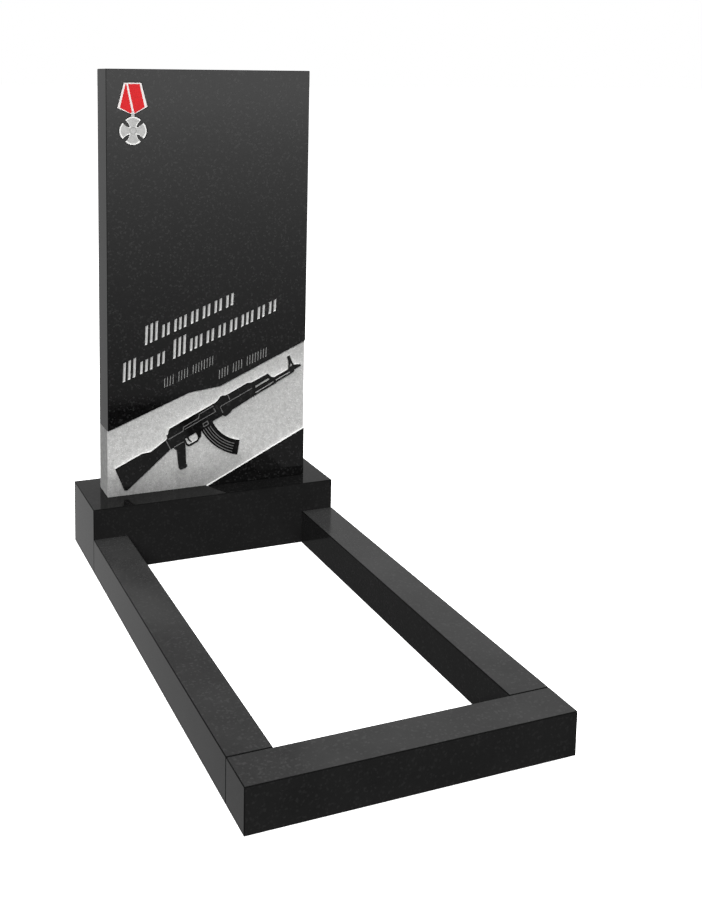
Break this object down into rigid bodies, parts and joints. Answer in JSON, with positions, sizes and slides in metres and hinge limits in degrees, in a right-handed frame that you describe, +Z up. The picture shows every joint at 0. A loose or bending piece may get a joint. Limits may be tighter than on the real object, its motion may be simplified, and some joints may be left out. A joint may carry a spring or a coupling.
{
  "type": "granite war memorial",
  "caption": "Upright polished black granite stele with a rifle carved in relief on a hammered band, standing on a granite plinth with kerb bars round an open bed.",
  "frame": {"origin": "on the ground, at the middle of the whole set's footprint", "axes": "+Z up, -Y out of the stele's carved face towards the front kerb bar, +X to the right of a person who faces the carving"},
  "size_m": [0.6, 1.16, 1.15],
  "materials": {
    "stele_granite": "mirror-polished black granite, with a light grey hammered band",
    "plinth_granite": "polished black granite",
    "kerb_granite": "polished black granite"
  },
  "bodies": {
    "root": {"stele": "stele_granite", "plinth": "plinth_granite", "kerb_left": "kerb_granite", "kerb_right": "kerb_granite", "kerb_front": "kerb_granite"}
  },
  "joints": []
}
